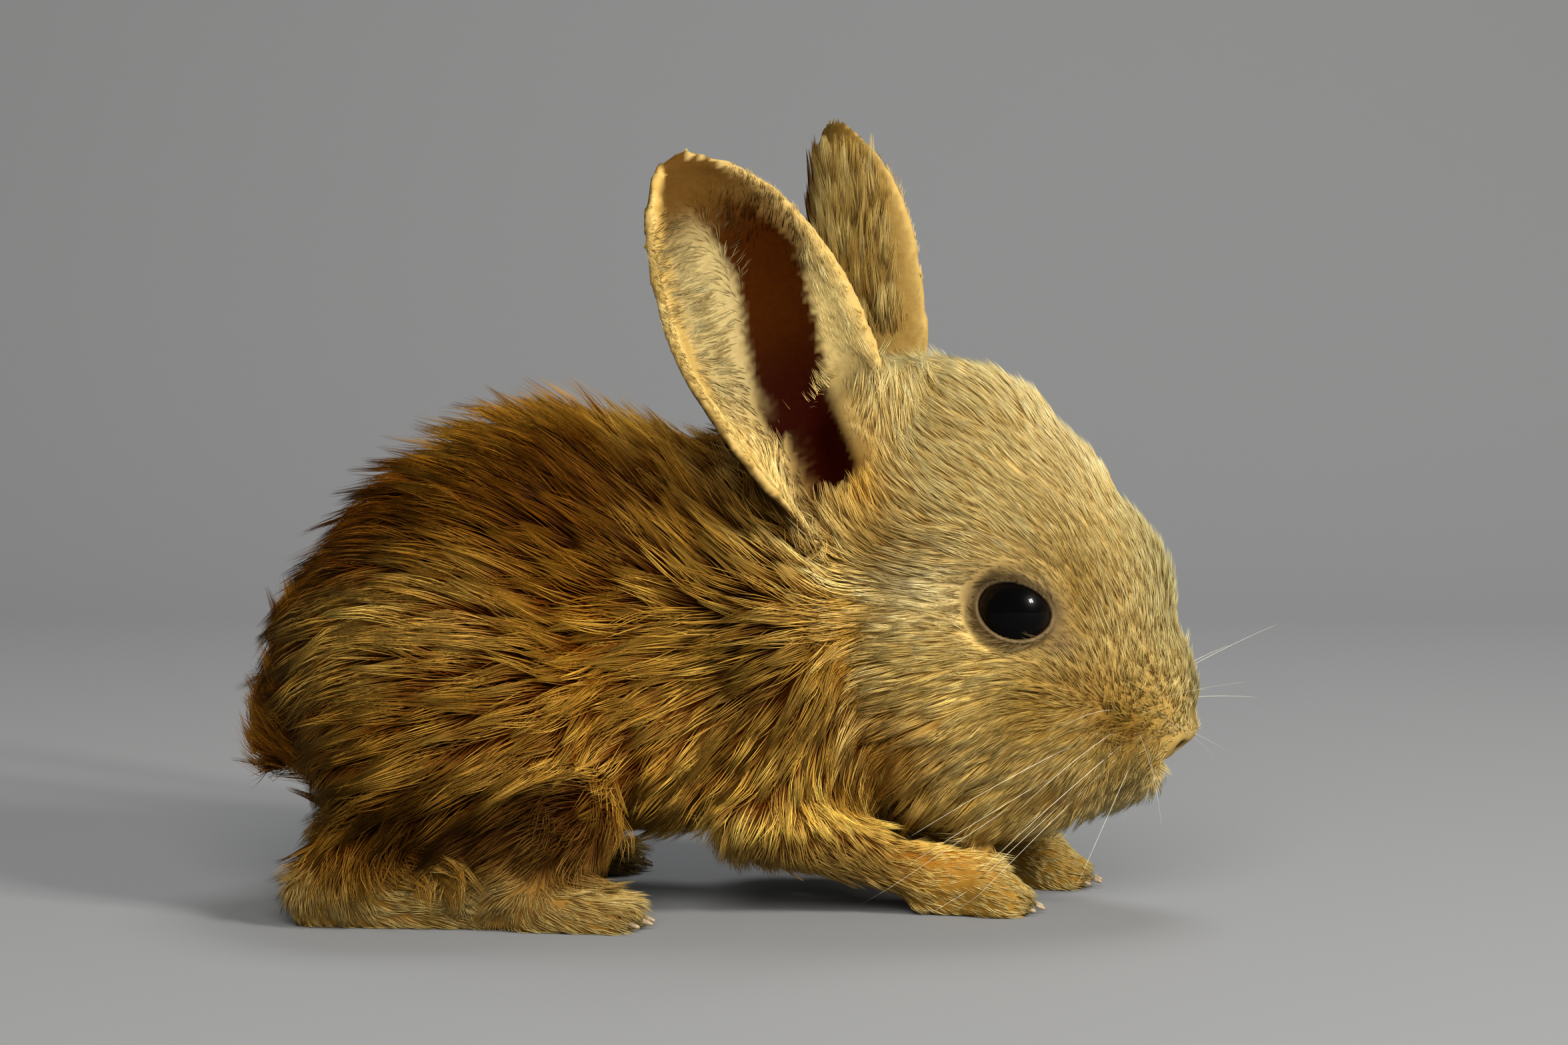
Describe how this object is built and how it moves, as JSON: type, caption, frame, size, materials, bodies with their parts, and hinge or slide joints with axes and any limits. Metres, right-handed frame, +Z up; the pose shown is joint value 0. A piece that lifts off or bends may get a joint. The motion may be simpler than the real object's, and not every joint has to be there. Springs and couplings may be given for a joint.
{
  "type": "rabbit kit",
  "caption": "Life-size still model of a golden dwarf rabbit kit crouching with its ears up, its head turned a little to its right and its feet flat.",
  "frame": {"origin": "on the floor, under the middle of the box round the whole rabbit", "axes": "+X is where the rabbit faces, +Y is its left side, +Z is up"},
  "size_m": [0.1446, 0.0738, 0.1175],
  "materials": {
    "coat": "golden fawn fur, pale golden tips over dark orange-brown roots",
    "pale_coat": "short cream fur of the feet",
    "ear": "short golden fur outside, bare reddish-brown skin in the hollow",
    "eye": "wet, almost black eye",
    "claw": "horn"
  },
  "bodies": {
    "root": {"chest": "coat", "claw_fore_left_1": "claw", "claw_fore_left_2": "claw", "claw_fore_left_3": "claw", "claw_fore_left_4": "claw", "claw_fore_right_1": "claw", "claw_fore_right_2": "claw", "claw_fore_right_3": "claw", "claw_fore_right_4": "claw", "claw_hind_left_1": "claw", "claw_hind_left_2": "claw", "claw_hind_left_3": "claw", "claw_hind_left_4": "claw", "claw_hind_right_1": "claw", "claw_hind_right_2": "claw", "claw_hind_right_3": "claw", "claw_hind_right_4": "claw", "ear_left": "ear", "ear_right": "ear", "eye_left": "eye", "eye_right": "eye", "forearm_left": "coat", "forearm_right": "coat", "forepaw_left": "pale_coat", "forepaw_right": "pale_coat", "head": "coat", "hind_foot_left": "pale_coat", "hind_foot_right": "pale_coat", "loin": "coat", "neck": "coat", "rump": "coat", "shank_left": "coat", "shank_right": "coat", "tail": "coat", "thigh_left": "coat", "thigh_right": "coat", "upper_arm_left": "coat", "upper_arm_right": "coat"}
  },
  "joints": []
}
